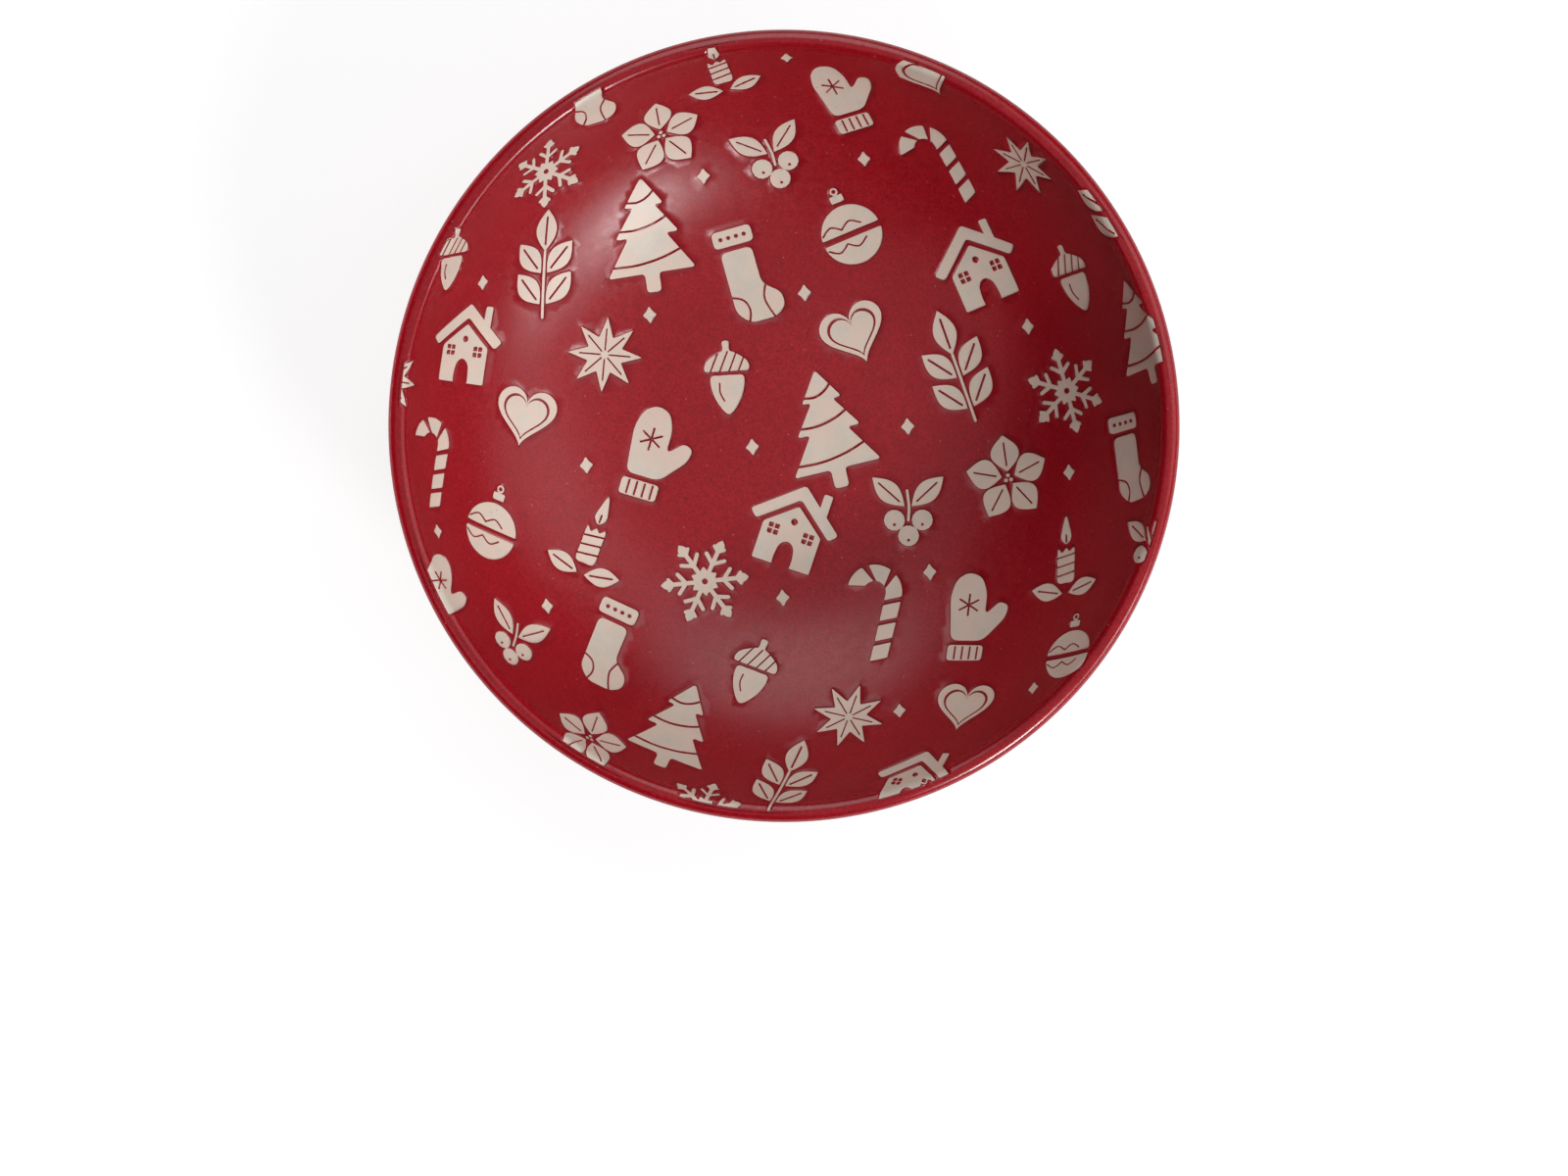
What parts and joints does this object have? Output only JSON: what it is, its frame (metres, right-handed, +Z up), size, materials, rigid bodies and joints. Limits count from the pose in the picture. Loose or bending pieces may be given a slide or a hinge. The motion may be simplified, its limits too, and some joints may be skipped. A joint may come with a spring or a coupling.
{
  "type": "soup plate",
  "caption": "Deep round soup plate in red-glazed stoneware, arched wall, rounded lip, foot ring, pale motifs in the well.",
  "frame": {"origin": "centre of the plane that the foot ring stands on", "axes": "+Z up along the plate's axis of symmetry; +Y is the top of the print, as seen from above"},
  "size_m": [0.205, 0.205, 0.0545],
  "materials": {
    "bare_stoneware": "matt bare cream stoneware clay with fine specks",
    "red_glaze": "satin-matt deep red glaze, finely speckled in the well and smoother outside"
  },
  "bodies": {
    "root": {"stoneware_body": "bare_stoneware", "inner_glaze": "red_glaze", "outer_glaze": "red_glaze", "base_glaze": "red_glaze"}
  },
  "joints": []
}
